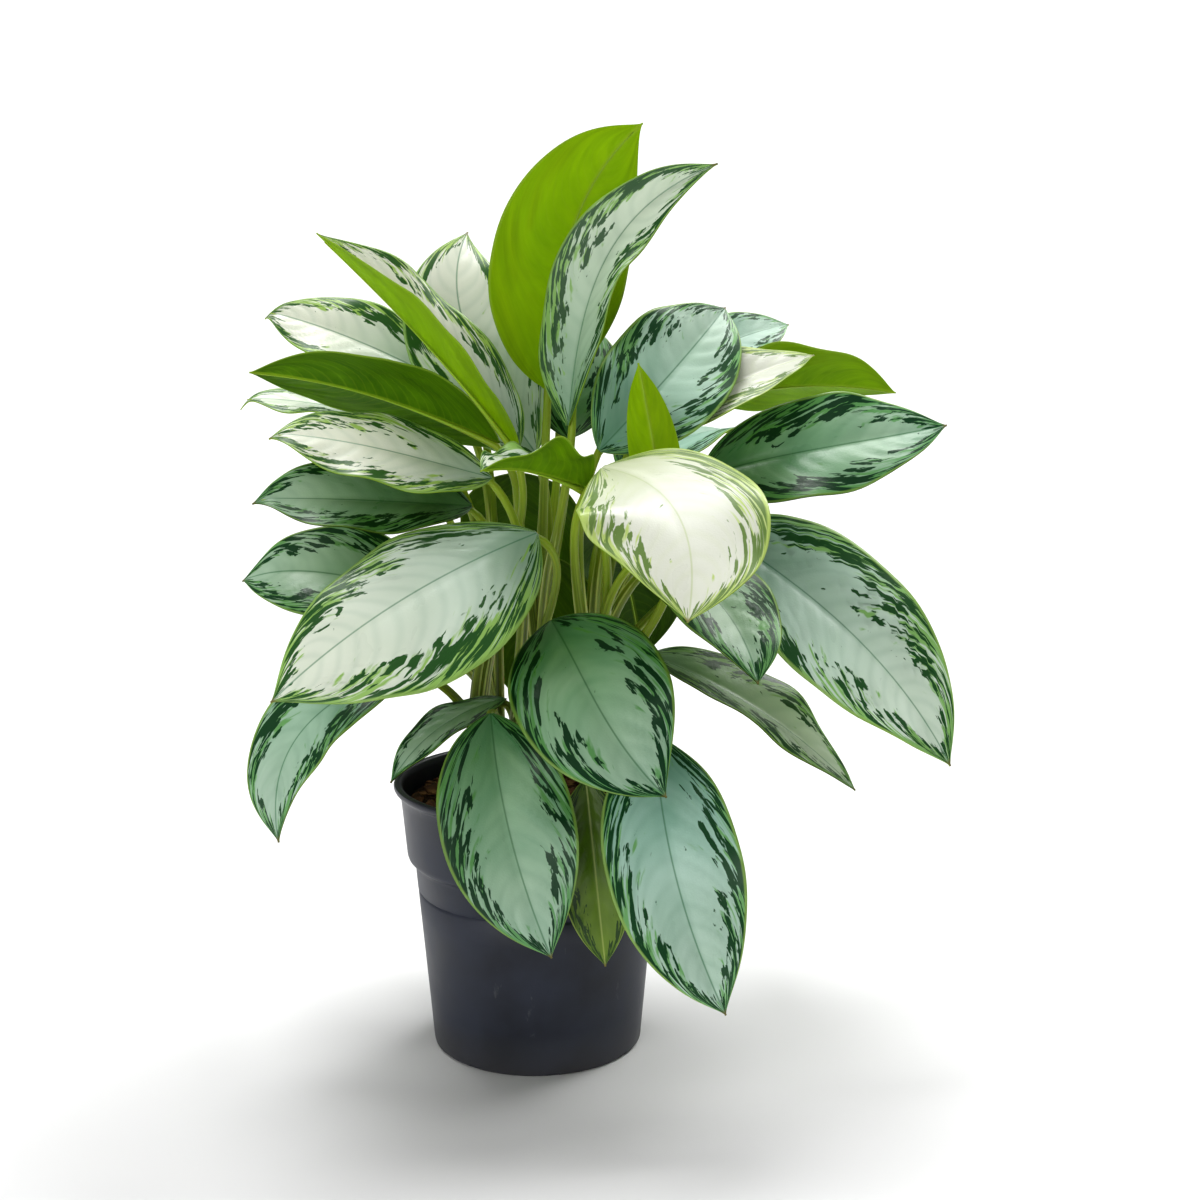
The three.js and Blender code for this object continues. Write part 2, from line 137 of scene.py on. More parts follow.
leafRows = [
    ("a", (8, 8, 440), (70, 20, 608), (-3, 10, 2), 94, (10, 10), (14, 32), 12, {"paintedBacklight": 1}),
    ("a", (23, -38, 420), (115, -30, 580), (-4, -10, 3), 60, (0, 0), (-32, -58), 28,
     {"twist": (-30, 5), "pale": 0.45, "paintedBacklight": 0.9, "oliveAndPaintedShade": 0.4, "streaks": (0.13, -0.05)}),
    ("a", (0, 30, 396), (-47, 80, 541), (0, -10, 3), 84, (12, 40), (-18, -36), 14,
     {"pale": 0.9, "streaks": (-0.05, -0.05)}),
    ("b", (-9, -30, 404), (-132, -34, 538), (7, -2, 7), 78, (6, 4), (0, 0), 46,
     {"pale": 0.9, "paintedBacklight": 0.75, "streaks": (-0.05, -0.05)}),
    ("f", (-59, 50, 440), (-184, 60, 489), (1, -8, 7), 62, (10, 12), (0, 0), 12,
     {"pale": 0.8, "hook": 8, "streaks": (0, 0.1)}),
    ("b", (-22, -8, 406), (-179, -20, 452), (0, 6, 8), 78, (10, 14), (0, 0), 14,
     {"paintedBacklight": 0, "oliveAndPaintedShade": 0.1}),
    ("f", (-73, 60, 406), (-202, 60, 430), (0, -3, 9), 50, (8, 10), (0, 0), 12,
     {"pale": 0.6, "hook": 8}),
    ("c", (-25, -44, 388), (-158, -74, 418), (0, -6, 9), 68, (4, 10), (0, 0), 8,
     {"pale": 0.85, "hook": 4, "streaks": (0, 0.1)}),
    ("b", (-40, -12, 366), (-174, -50, 375), (0, -6, 8), 70, (2, 4), (0, 0), 18,
     {"oliveAndPaintedShade": 1, "hook": 4}),
    ("f", (-64, 24, 299), (-200, 40, 308), (-1, -7, 6), 76, (14, 40), (0, 0), 12,
     {"oliveAndPaintedShade": 1}),
    ("c", (4, -72, 357), (-148, -150, 269), (-1, -7, 6), 104, (16, 20), (4, 4), 4,
     {"oblique": -0.2, "pale": 0.6, "quilt": 1.2}),
    ("b", (-79, -40, 267), (-159, -80, 162), (-4, -6, 5), 66, (22, 22), (22, 46), 16,
     {"pale": 0.1, "oliveAndPaintedShade": 0.5}),
    ("c", (-19, -30, 243), (-87, -88, 203), (-3, -4, 8), 34, (14, 18), (0, 0), 12, {"oliveAndPaintedShade": 1}),
    ("c", (-24, -95, 249), (14, -150, 113), (0, -9, 3), 82, (12, 10), (8, 8), 14,
     {"pale": 0, "oliveAndPaintedShade": 0.9}),
    ("c", (13, -85, 305), (81, -170, 218), (-1, -8, 6), 94, (14, 16), (2, 14), 14,
     {"pale": 0, "oliveAndPaintedShade": 1}),
    ("d", (77, -84, 232), (118, -150, 77), (1, -9, 3), 84, (14, 14), (14, 14), 14, {}),
    ("d", (34, -100, 209), (46, -110, 92), (0, -9, 2), 46, (4, 4), (0, 0), 14, {"skin": "young"}),
    ("d", (74, -45, 275), (205, -60, 190), (1, -3, 10), 66, (14, 14), (0, 0), 18,
     {"pale": 0.4, "oliveAndPaintedShade": 0.9, "streaks": (0.06, 0.1)}),
    ("e", (116, 0, 350), (265, -60, 206), (3, -8, 6), 106, (18, 22), (-8, -14), 14,
     {"pale": 0.35, "streaks": (0.08, -0.02), "quilt": 2}),
    ("d", (44, -80, 398), (91, -190, 324), (1, -6, 8), 112, (22, 16), (-30, -26), 10,
     {"oblique": 0.06, "skin": "pale", "pale": 1, "quilt": 0.4, "wave": 2.4}),
    ("d", (71, -62, 345), (134, -150, 280), (3, -6, 7), 72, (12, 14), (-10, -14), 14,
     {"pale": 0.1, "oliveAndPaintedShade": 1, "streaks": (0.14, 0.14)}),
    ("e", (109, 20, 381), (267, 0, 417), (1, -8, 7), 80, (12, 14), (0, 10), 14,
     {"pale": 0, "oliveAndPaintedShade": 1, "streaks": (0.14, -0.03), "quilt": 1.1}),
    ("e", (106, 74, 426), (248, 90, 432), (1, 6, 8), 78, (12, 14), (0, 0), 20, {"paintedBacklight": 0.6}),
    ("d", (42, -36, 404), (127, 60, 491), (2, -8, 5), 80, (14, 14), (4, 4), 18,
     {"pale": 0.15, "oliveAndPaintedShade": 0.2, "streaks": (0.06, 0), "quilt": 0.8}),
    ("a", (22, 50, 404), (26, 96, 484), (0, -8, 3), 66, (8, 10), (0, 0), 14,
     {"oliveAndPaintedShade": 1, "streaks": (0.1, 0.1)}),
    ("e", (88, 72, 446), (176, 120, 478), (0, -6, 8), 52, (8, 8), (0, 0), 12, {}),
    ("e", (68, 6, 405), (185, 40, 460), (1, -4, 9), 60, (10, 12), (0, 0), 20,
     {"skin": "pale", "pale": 0.8}),
    ("d", (88, -50, 344), (66, -62, 460), (0, 1, 0), 40, (2, 2), (0, 0), 44,
     {"skin": "young", "paintedBacklight": 1}),
    ("d", (33, -60, 384), (-27, -118, 400), (0, 1, 9), 62, (4, 8), (0, 0), 34,
     {"pale": 0.6, "paintedBacklight": 0.2, "wave": 4.5}),
    ("e", (64, 92, 372), (150, 205, 392), (3, 4, 8), 84, (18, 20), (0, 0), 14, {}),
    ("f", (-66, 98, 350), (-136, 200, 330), (-3, 4, 8), 84, (18, 20), (0, 0), 14,
     {"paintedBacklight": 0, "oliveAndPaintedShade": 0.5}),
    ("a", (14, 84, 406), (18, 214, 456), (0, 2, 10), 84, (18, 20), (0, 0), 14, {"pale": 0.3}),
    ("e", (100, 84, 300), (196, 168, 228), (5, 4, 6), 84, (18, 20), (0, 0), 14, {}),
    ("f", (-84, 74, 268), (-178, 140, 190), (-5, 4, 6), 80, (18, 20), (0, 0), 14, {}),
    ("f", (-60, 104, 316), (-96, 186, 210), (-2, 7, 5), 84, (18, 20), (0, 0), 14,
     {"paintedBacklight": 0, "oliveAndPaintedShade": 0.5}),
    ("e", (46, 92, 338), (74, 178, 224), (2, 7, 5), 86, (18, 20), (0, 0), 14,
     {"paintedBacklight": 0, "oliveAndPaintedShade": 0.7}),
    ("f", (-40, 70, 440), (-92, 150, 505), (-2, 3, 8), 70, (14, 14), (0, 0), 14, {"pale": 0.4}),
    ("e", (78, 64, 334), (146, 156, 300), (4, 3, 8), 80, (16, 18), (0, 0), 14, {"pale": 0.2}),
    ("f", (-70, 62, 326), (-156, 126, 292), (-3, 3, 8), 80, (16, 18), (0, 0), 14,
     {"paintedBacklight": 0, "oliveAndPaintedShade": 0.6}),
    ("a", (-14, 58, 380), (-12, 120, 272), (0, 8, 5), 86, (14, 16), (0, 0), 10,
     {"paintedBacklight": 0.1, "oliveAndPaintedShade": 0.4}),
    ("a", (4, 46, 326), (-8, 100, 202), (0, 9, 3), 84, (12, 14), (0, 0), 12,
     {"paintedBacklight": 0.1, "oliveAndPaintedShade": 0.4}),
]

shoots = {  # foot on the soil, and top of the cane
    "a": ((2, 14), (4, 12, 250)),
    "b": ((-36, 2), (-42, 2, 214)),
    "c": ((-12, -36), (-12, -42, 206)),
    "d": ((36, -14), (42, -18, 212)),
    "e": ((34, 38), (42, 46, 226)),
    "f": ((-26, 46), (-32, 54, 226)),
}

blade = {
    "stepsAlong": 64,
    "stepsAcross": 26,
    "edgeCrowding": 0.3,  # the rows are closer together at the edges and ends
    "endCrowding": 0.1,
    "thickness": 0.7,
    "slack": 1.06,  # length of its curve, as a multiple of the straight line
    "widestAt": 0.46,  # share of the length
    "baseCurve": 2.4,
    "baseFullness": 0.75,
    "tipCurve": 2.2,
    "tipPinch": 0.5,  # the last bit of the tip is drawn in
    "tipPinchCurve": 14,
    "neckWidth": 4.4,
    "tipWidth": 1.2,
    "hookFrom": 0.9,
    "waves": 2.5,
    "grooveDepth": 0.8,  # the midrib is sunk in the upper side
    "grooveWidth": 2.2,
    "veinSpacing": 15,  # along the midrib
    "veinSlant": 0.6,  # how far forward a vein runs until the edge, in half widths
    "veinBend": 1.9,
    "veinNarrowing": 0.35,  # less forward towards the tip
    "veinDrift": 12,  # how far a vein strays from its even place
    "veinPucker": 2,  # how far the blade swells between its side veins
    "creaseShare": 0.6,
    "unevenness": 6,
    "driftPerMetre": 20,
    "swellPerMetre": 30,
    "evenSwell": 0.7,  # noise makes some swells higher and some lower than this
    "unevenPerMetre": 24,
    "ownNoise": 0.13,  # metres between two leaves in the noise, so that no two are alike
    "ownPattern": 5.3,
    "tipStreaks": 0.55,  # the streaked band is wider at the tip and the neck
    "tipStreaksFrom": 0.82,
    "neckStreaks": 0.3,
    "neckStreaksTo": 0.14,
    "ridgeRadius": 2.6,  # the midrib's ridge under the blade, at its base
    "ridgeFade": 3.5,
    "ridgeEnd": 0.3,
    "ridgeDepth": 0.25,
    "ridgeLength": 0.96,  # share of the blade
}


def readLeaf(row):
    shoot, base, tip, face, width, arch, bow, fold, other = row
    leaf = dict(plainLeaf, **other)
    base, tip = Vector(base) * mm, Vector(tip) * mm
    along = (tip - base).normalized()
    side = along.cross(Vector(face)).normalized()
    up = side.cross(along)
    near = base.lerp(tip, 1 / 3) + up * arch[0] * mm + side * bow[0] * mm
    far = base.lerp(tip, 2 / 3) + up * arch[1] * mm + side * bow[1] * mm
    leaf.update(shoot=shoot, width=width * mm, fold=fold, curve=(base, near, far, tip), up=up,
                length=(tip - base).length * blade["slack"])
    return leaf


def curvePoint(curve, t):
    a, b, c, d = curve
    s = 1 - t
    return a * s ** 3 + b * (3 * s * s * t) + c * (3 * s * t * t) + d * t ** 3


def curveAhead(curve, t):
    a, b, c, d = curve
    s = 1 - t
    return ((b - a) * s * s + (c - b) * (2 * s * t) + (d - c) * t * t).normalized()


def spineFrame(leaf, u):
    ahead = curveAhead(leaf["curve"], u)
    up = (leaf["up"] - ahead * leaf["up"].dot(ahead)).normalized()
    up = Quaternion(ahead, math.radians(mixed(*leaf["twist"], u))) @ up
    return ahead, up, ahead.cross(up)


def bladeOutline(u):
    widest = blade["widestAt"]
    if u < widest:
        return 0.5 * (1 - ((widest - u) / widest) ** blade["baseCurve"]) ** blade["baseFullness"]
    ahead = (u - widest) / (1 - widest)
    pinch = 1 - blade["tipPinch"] * ahead ** blade["tipPinchCurve"]
    return 0.5 * (1 - ahead ** blade["tipCurve"]) * pinch


def halfWidth(leaf, u, v):
    ends = mixed(blade["neckWidth"], blade["tipWidth"], u) * mm / 2
    unequal = 1 + leaf["oblique"] * math.copysign(1, v)
    return max(leaf["width"] * unequal * bladeOutline(u), ends)


def surfacePlace(leaf, number, u, v):
    return Vector((u * leaf["length"], halfWidth(leaf, u, v) * v, number * blade["ownNoise"]))


def veinPlace(leaf, number, u, v):
    # Side veins leave the midrib slantwise and bend forward until they run along the edge. This
    # is the place on the midrib, in metres, where the vein through a point starts.
    a = abs(v)
    forward = blade["veinSlant"] * a + blade["veinBend"] * a ** 3
    even = u * leaf["length"] - leaf["width"] / 2 * forward * (1 - blade["veinNarrowing"] * u)
    drift = noise.noise(surfacePlace(leaf, number, u, v) * blade["driftPerMetre"])
    return even + blade["veinDrift"] * mm * drift


def bladePoint(leaf, number, u, v, row):
    point, up, side = row
    a = abs(v)
    half = halfWidth(leaf, u, v)
    body = 2 * bladeOutline(u)
    rise = math.radians(leaf["fold"] + leaf["curl"] * a / 2)
    turn = 2 * math.pi * blade["waves"] * u + math.copysign(1, v)
    lift = half * a * math.sin(rise) + leaf["wave"] * mm * math.sin(turn) * a * a * body
    groove = math.exp(-(half * a / mm / blade["grooveWidth"]) ** 2)
    lift -= blade["grooveDepth"] * mm * groove * (1 - u) * body
    place = surfacePlace(leaf, number, u, v)
    turn = math.pi * veinPlace(leaf, number, u, v) / (blade["veinSpacing"] * mm)
    swell = abs(math.sin(turn)) - blade["creaseShare"]
    swell *= (blade["evenSwell"] + noise.noise(place * blade["swellPerMetre"])) * leaf["quilt"]
    lift += blade["veinPucker"] * mm * swell * math.sin(math.pi * min(a, 1)) * body
    lift += blade["unevenness"] * mm * noise.noise(place * blade["unevenPerMetre"]) * a * body
    start = blade["hookFrom"]
    hook = leaf["hook"] * mm * max((u - start) / (1 - start), 0) ** 2
    return point + side * half * v * math.cos(rise) + up * (lift - hook)


def bladeRow(leaf, u):
    ahead, up, side = spineFrame(leaf, u)
    return curvePoint(leaf["curve"], u), up, side


def addVectors(piece, name, values):
    attribute = piece.data.attributes.new(name, "FLOAT_VECTOR", "POINT")
    attribute.data.foreach_set("vector", [x for value in values for x in value])


def makeBlade(leaf, number, skins):
    deselectAll()
    bpy.ops.mesh.primitive_grid_add(x_subdivisions=blade["stepsAcross"],
                                    y_subdivisions=blade["stepsAlong"], size=2)
    piece = bpy.context.object
    piece.name = piece.data.name = f"blade{number:02d}"
    rows, veins, zones = {}, [], []
    for vertex in piece.data.vertices:
        x, y = vertex.co.x, (vertex.co.y + 1) / 2
        v = x * (1 + blade["edgeCrowding"] - blade["edgeCrowding"] * x * x)
        u = y - blade["endCrowding"] * math.sin(2 * math.pi * y)
        if u not in rows:
            rows[u] = bladeRow(leaf, u)
        vertex.co = bladePoint(leaf, number, u, v, rows[u])
        veins.append((veinPlace(leaf, number, u, v), v, number * blade["ownPattern"]))
        zone = abs(v) + blade["tipStreaks"] * eased(blade["tipStreaksFrom"], 1, u)
        zone += blade["neckStreaks"] * eased(blade["neckStreaksTo"], 0, u) + leaf["streaks"][v > 0]
        zones.append((zone, halfWidth(leaf, u, v) * abs(v), u))
    addVectors(piece, "veinPlace", veins)
    addVectors(piece, "leafZone", zones)
    addVectors(piece, "leafTone", [(leaf["pale"], leaf["paintedBacklight"], leaf["oliveAndPaintedShade"])] * len(veins))
    for skin in skins[leaf["skin"]]:
        piece.data.materials.append(skin)
    applyModifier(piece, "SOLIDIFY", thickness=blade["thickness"] * mm, offset=0,
                  use_rim=True, material_offset=1, material_offset_rim=1)
    bpy.ops.object.shade_smooth()
    return piece


petiole = {
    "sides": 14,
    "steps": 22,
    "sheathRadius": 4.6,
    "radius": 2.6,
    "underBlade": 0.1,  # gap between its end and the blade
    "rise": 0.5,  # share of its reach for which it heads straight up
    "reachBack": 0.3,
    "overhang": 0.8,
    "channel": 0.5,  # depth of the channel on its inner side, as a share of the radius
    "channelFade": 0.7,
    "channelEnd": (1.1, 0.9),  # it runs out between these shares of the petiole
    "channelWidth": 0.6,  # angles round the petiole, in radians
    "sheathLength": 0.6,  # share of the petiole that is a sheath with thin edges
    "sheathEdge": 1.5,
    "edgeAngle": 0.95,
    "edgeWidth": 0.24,
    "edgeRunOut": 0.25,  # share of the petiole over which the edges get lower
    "paleEdgeWidth": 0.2,
    "paleRunOut": (0.1, 0.2),  # past the sheath's end and before it
    "highest": 0.95,  # shares of the cane's height, where its petioles start
    "lowest": 0.6,
}

cane = {
    "sides": 20,
    "radius": 6.5,
    "surface": 167,
    "depth": 45,
    "steps": 60,
    "ringSwell": 0.7,  # the scar of each old leaf stands out a little and is paler
    "ringSpacing": 9,
    "ringStart": 4,
    "ringTilt": 2,
    "scarWidth": 1.2,
    "scarPaleness": 0.42,
    "roundFrom": 0.93,  # share of its height from where its top is rounded
    "rounding": 0.9,
}


def canePoint(key, share):
    (x, y), top = shoots[key]
    foot = Vector((x, y, cane["surface"] - cane["depth"]))
    bend = Vector((x, y, cane["surface"]))
    s = 1 - share
    return (foot * s * s + bend * (2 * s * share) + Vector(top) * share * share) * mm


def rollTube(name, path, sides, shape, values):
    # A grid rolled up along a path of (point, side, up). shape gives the radius at a ring and
    # angle, the angle counted from up, and values what the material reads there.
    deselectAll()
    last = len(path) - 1
    bpy.ops.mesh.primitive_grid_add(x_subdivisions=sides, y_subdivisions=last, size=2)
    tube = bpy.context.object
    tube.name = tube.data.name = name
    read = []
    for vertex in tube.data.vertices:
        ring = round((vertex.co.y + 1) / 2 * last)
        angle = math.pi * vertex.co.x
        point, side, up = path[ring]
        radius = shape(ring, angle)
        vertex.co = point + up * radius * math.cos(angle) + side * radius * math.sin(angle)
        read.append(values(ring, angle))
    addVectors(tube, "stemPlace", read)
    bpy.ops.object.mode_set(mode="EDIT")
    bpy.ops.mesh.select_all(action="SELECT")
    bpy.ops.mesh.remove_doubles(threshold=1e-6)
    bpy.ops.mesh.fill_holes(sides=sides)
    bpy.ops.mesh.select_all(action="SELECT")
    bpy.ops.mesh.normals_make_consistent(inside=False)
    bpy.ops.object.mode_set(mode="OBJECT")
    bpy.ops.object.shade_smooth()
    return tube


def makePetiole(leaf, number, key, share):
    start = canePoint(key, share)
    ahead, up, side = spineFrame(leaf, 0)
    end = curvePoint(leaf["curve"], 0) - up * (petiole["radius"] + petiole["underBlade"]) * mm
    reach = (end - start).length
    bend = (ahead + Vector((0, 0, petiole["overhang"]))).normalized()
    curve = (start, start + Vector((0, 0, reach * petiole["rise"])),
             end - bend * reach * petiole["reachBack"], end)
    steps = petiole["steps"]
    path, radii, shares = [], [], []
    for step in reversed(range(steps)):  # carried back from the blade, so the channel faces inwards
        t = step / steps
        tangent = curveAhead(curve, t)
        up = (up - tangent * up.dot(tangent)).normalized()
        path.insert(0, (curvePoint(curve, t), tangent.cross(up), up))
        radii.insert(0, mixed(petiole["sheathRadius"], petiole["radius"], math.sqrt(t)) * mm)
        shares.insert(0, t)
    for step in range(steps + 1):  # and on under the blade as the ridge of its midrib
        u = blade["ridgeLength"] * step / steps
        point, up, side = bladeRow(leaf, u)
        radius = blade["ridgeRadius"] * math.exp(-blade["ridgeFade"] * u)
        radius = max(radius, blade["ridgeEnd"]) * mm
        groove = blade["grooveDepth"] * mm * (1 - u) * bladeOutline(u)
        path.append((point - up * (radius + blade["ridgeDepth"] * mm + groove), side, up))
        radii.append(radius)
        shares.append(1 + u)
    length = petiole["sheathLength"]

    def sheathEdge(angle, width):
        return math.exp(-((abs(angle) - petiole["edgeAngle"]) / width) ** 2)

    def shape(ring, angle):
        t = shares[ring]
        depth = petiole["channel"] * (1 - petiole["channelFade"] * min(t, 1))
        depth *= eased(*petiole["channelEnd"], t)
        radius = radii[ring] * (1 - depth * math.exp(-(angle / petiole["channelWidth"]) ** 2))
        edge = sheathEdge(angle, petiole["edgeWidth"])
        edge *= eased(length, length - petiole["edgeRunOut"], t)
        return radius + petiole["sheathEdge"] * mm * edge

    def values(ring, angle):
        t = shares[ring]
        past, before = petiole["paleRunOut"]
        edge = sheathEdge(angle, petiole["paleEdgeWidth"])
        edge *= eased(length + past, length - before, t)
        return (min(t, 1) * reach, angle * petiole["radius"] * mm + number, edge if t <= 1 else -t)

    return rollTube(f"petiole{number:02d}", path, petiole["sides"], shape, values)


def makeCane(key, number):
    steps = cane["steps"]
    path = [(canePoint(key, step / steps), Vector((1, 0, 0)), Vector((0, 1, 0)))
            for step in range(steps + 1)]

    def scar(ring, angle):
        height = path[ring][0].z / mm + cane["ringTilt"] * math.cos(angle + number)
        past = height % cane["ringSpacing"] - cane["ringStart"]
        return math.exp(-(past / cane["scarWidth"]) ** 2)

    def shape(ring, angle):
        top = math.sqrt(1 - cane["rounding"] * eased(cane["roundFrom"], 1, ring / steps))
        return (cane["radius"] + cane["ringSwell"] * scar(ring, angle)) * top * mm

    def values(ring, angle):
        height = path[ring][0].z - cane["surface"] * mm
        around = angle * cane["radius"] * mm + number
        return (height, around, cane["scarPaleness"] * scar(ring, angle))

    return rollTube(f"cane{number}", path, cane["sides"], shape, values)


# Materials of the plant

# The attributes that the leaf materials read, by their parts. veinPlace: along the midrib, across,
# the leaf's own pattern. leafZone: how near the edge, distance from the midrib, share of the
# length. leafTone: pale, a painted backlight glow, and painted shade that dulls towards olive.
leafReads = ("veinPlace", "leafZone", "leafTone")

upperNoises = [  # name, scale along and across and between leaves, start, settings
    # streaks about 10 mm apart along the midrib, so 2 mm apart where the veins run by the edge
    ("streaks", (100, 6, 1), (0, 0, 0), {"Detail": 3, "Roughness": 0.55, "Distortion": 0.5}),
    ("band", (26, 3, 1), (3, 7, 11), {"Detail": 2, "Roughness": 0.6, "Distortion": 0.3}),
    ("lines", (130, 4, 1), (5, 1, 2), {"Detail": 2, "Distortion": 0.4}),
    ("cloud", (30, 1.2, 1), (0, 0, 0), {"Detail": 3}),
]

upperMasks = {  # from where to where, and the strength at both ends
    "tipPaleness": (0.25, 0.85, 0, 0.25),
    "neckShade": (0, 0.45, 0.55, 0),
    # painted shade: a faint darker green in the creases between the swells along the side veins
    "paintedCreaseShade": (0, 0.005, 0.09, 0),  # faint, along the side veins
    "greenLine": (1.58, 1.84, 0, 1),
    "darkStreak": (0.94, 0.985, 0, 1),
    "margin": (0.94, 0.975, 0, 0.85),
    "midrib": (0.0001, 0.0009, 0.65, 0),
    "brownTip": (0.975, 0.995, 0, 0.8),
}

# how likely a dark streak is, from the midrib to the edge
streakShares = [(0.2, 0.2), (0.5, 0.3), (0.62, 0.46), (0.8, 0.46), (1, 0.48)]

underMasks = {
    "sideVein": (0.0001, 0.0011, 0.14, 0),
    "midrib": (0.0006, 0.0024, 0.75, 0),
    "margin": (0.95, 0.99, 0, 0.6),
}


def leafUpper(name, palette):
    # Living leaf with a wax bloom: a silver middle where air lies under the skin, broken by green
    # streaks along the side veins. The wax gives a soft satin shine. Painted shade greys shaded
    # leaves towards olive and darkens the creases between the swells.
    material, tree = newMaterial(name)
    reads = [addNode(tree, "ShaderNodeAttribute", {"attribute_name": key}, {}).outputs["Vector"]
             for key in leafReads]
    vein, zone, tone = [addNode(tree, "ShaderNodeSeparateXYZ", {}, {0: read}).outputs
                        for read in reads]
    noises = {}
    for key, scale, start, settings in upperNoises:
        spot = addNode(tree, "ShaderNodeMapping", {}, {
            "Vector": reads[0], "Scale": scale, "Location": start})
        noises[key] = addNode(tree, "ShaderNodeTexNoise", {}, {
            "Vector": spot.outputs[0], "Scale": 1, **settings}).outputs[0]
    shift = addNode(tree, "ShaderNodeMapRange", {}, {
        "Value": noises["band"], 1: 0.3, 2: 0.7, 3: -0.22, 4: 0.22})
    edge = addNode(tree, "ShaderNodeMath", {"operation": "ADD"}, {0: zone[0], 1: shift.outputs[0]})
    lines = addNode(tree, "ShaderNodeMath", {"operation": "MULTIPLY_ADD"}, {
        0: noises["lines"], 1: 1.8, 2: edge.outputs[0]})
    likely = addNode(tree, "ShaderNodeValToRGB", {}, {0: edge.outputs[0]})
    setRamp(likely, streakShares)
    streaks = addNode(tree, "ShaderNodeMath", {"operation": "ADD"}, {
        0: noises["streaks"], 1: likely.outputs[0]})
    phase = addNode(tree, "ShaderNodeMath", {"operation": "PINGPONG"}, {
        0: vein[0], 1: blade["veinSpacing"] / 2 * mm})
    outwards = addNode(tree, "ShaderNodeMath", {"operation": "ABSOLUTE"}, {0: vein[1]})
    masks = {}
    for key, read in (("tipPaleness", zone[2]), ("neckShade", zone[2]),
                      ("paintedCreaseShade", phase.outputs[0]), ("greenLine", lines.outputs[0]),
                      ("darkStreak", streaks.outputs[0]), ("margin", outwards.outputs[0]),
                      ("midrib", zone[1]), ("brownTip", zone[2])):
        low, high, first, last = upperMasks[key]
        masks[key] = addNode(tree, "ShaderNodeMapRange", {"interpolation_type": "SMOOTHSTEP"}, {
            "Value": read, 1: low, 2: high, 3: first, 4: last}).outputs[0]
    paleness = addNode(tree, "ShaderNodeMath", {"operation": "ADD", "use_clamp": True}, {
        0: tone[0], 1: masks["tipPaleness"]})
    silver = addNode(tree, "ShaderNodeValToRGB", {}, {0: noises["cloud"]})
    setRamp(silver, [(0.32, linear(palette["silverShade"])), (0.68, linear(palette["silver"]))])
    greens = [addNode(tree, "ShaderNodeMix", {"data_type": "RGBA"}, {
        0: tone[0], 6: linear(palette[dark]), 7: linear(palette[fresh])}).outputs[2]
        for dark, fresh in (("green", "freshGreen"), ("streak", "freshStreak"))]
    colour = silver.outputs[0]
    for share, over in ((paleness.outputs[0], linear(palette["white"])),
                        (masks["neckShade"], linear(palette["neck"])),
                        (masks["paintedCreaseShade"], linear(palette["neck"])),
                        (masks["greenLine"], greens[0]),
                        (masks["darkStreak"], greens[1]),
                        (masks["margin"], linear(palette["margin"])),
                        (masks["midrib"], linear(palette["midrib"]))):
        colour = addNode(tree, "ShaderNodeMix", {"data_type": "RGBA"}, {
            0: share, 6: colour, 7: over}).outputs[2]
    # painted shade: a dull leaf is greyed most at its base, where other leaves shade it, and less
    # at its tip
    shaded = addNode(tree, "ShaderNodeMapRange", {}, {
        "Value": zone[2], 1: 0.2, 2: 0.85, 3: 1, 4: 0.4})
    oliveAndPaintedShade = addNode(tree, "ShaderNodeMath", {"operation": "MULTIPLY"}, {
        0: tone[2], 1: shaded.outputs[0]})
    oliveAndShadeMixed = addNode(tree, "ShaderNodeMix", {"data_type": "RGBA", "blend_type": "MULTIPLY"}, {
        0: oliveAndPaintedShade.outputs[0], 6: colour, 7: linear(palette["oliveAndPaintedShade"])})
    colour = addNode(tree, "ShaderNodeMix", {"data_type": "RGBA"}, {
        0: masks["brownTip"], 6: oliveAndShadeMixed.outputs[2], 7: linear(palette["tip"])}).outputs[2]
    # relief of the streaks, and skin cells drawn at a millimetre so that they show
    spot = addNode(tree, "ShaderNodeTexCoord", {}, {}).outputs["Object"]
    cells = addNode(tree, "ShaderNodeTexNoise", {}, {"Vector": spot, "Scale": 900, "Detail": 2})
    relief = addNode(tree, "ShaderNodeMath", {"operation": "MULTIPLY_ADD"}, {
        0: noises["streaks"], 1: 0.8, 2: cells.outputs[0]})
    bump = addNode(tree, "ShaderNodeBump", {}, {
        "Strength": 0.18, "Distance": 0.0006, "Height": relief.outputs[0]})
    rough = addNode(tree, "ShaderNodeMapRange", {}, {
        "Value": noises["cloud"], 1: 0.3, 2: 0.7, 3: 0.26, 4: 0.38})
    shader = addNode(tree, "ShaderNodeBsdfPrincipled", {}, {
        "Base Color": colour, "Roughness": rough.outputs[0], "IOR": 1.45,
        "Normal": bump.outputs[0]})
    through = addNode(tree, "ShaderNodeBsdfTranslucent", {}, {"Color": colour})
    both = addNode(tree, "ShaderNodeMixShader", {}, {
        0: 0.16, 1: shader.outputs[0], 2: through.outputs[0]})
    addNode(tree, "ShaderNodeOutputMaterial", {}, {"Surface": both.outputs[0]})
    return material


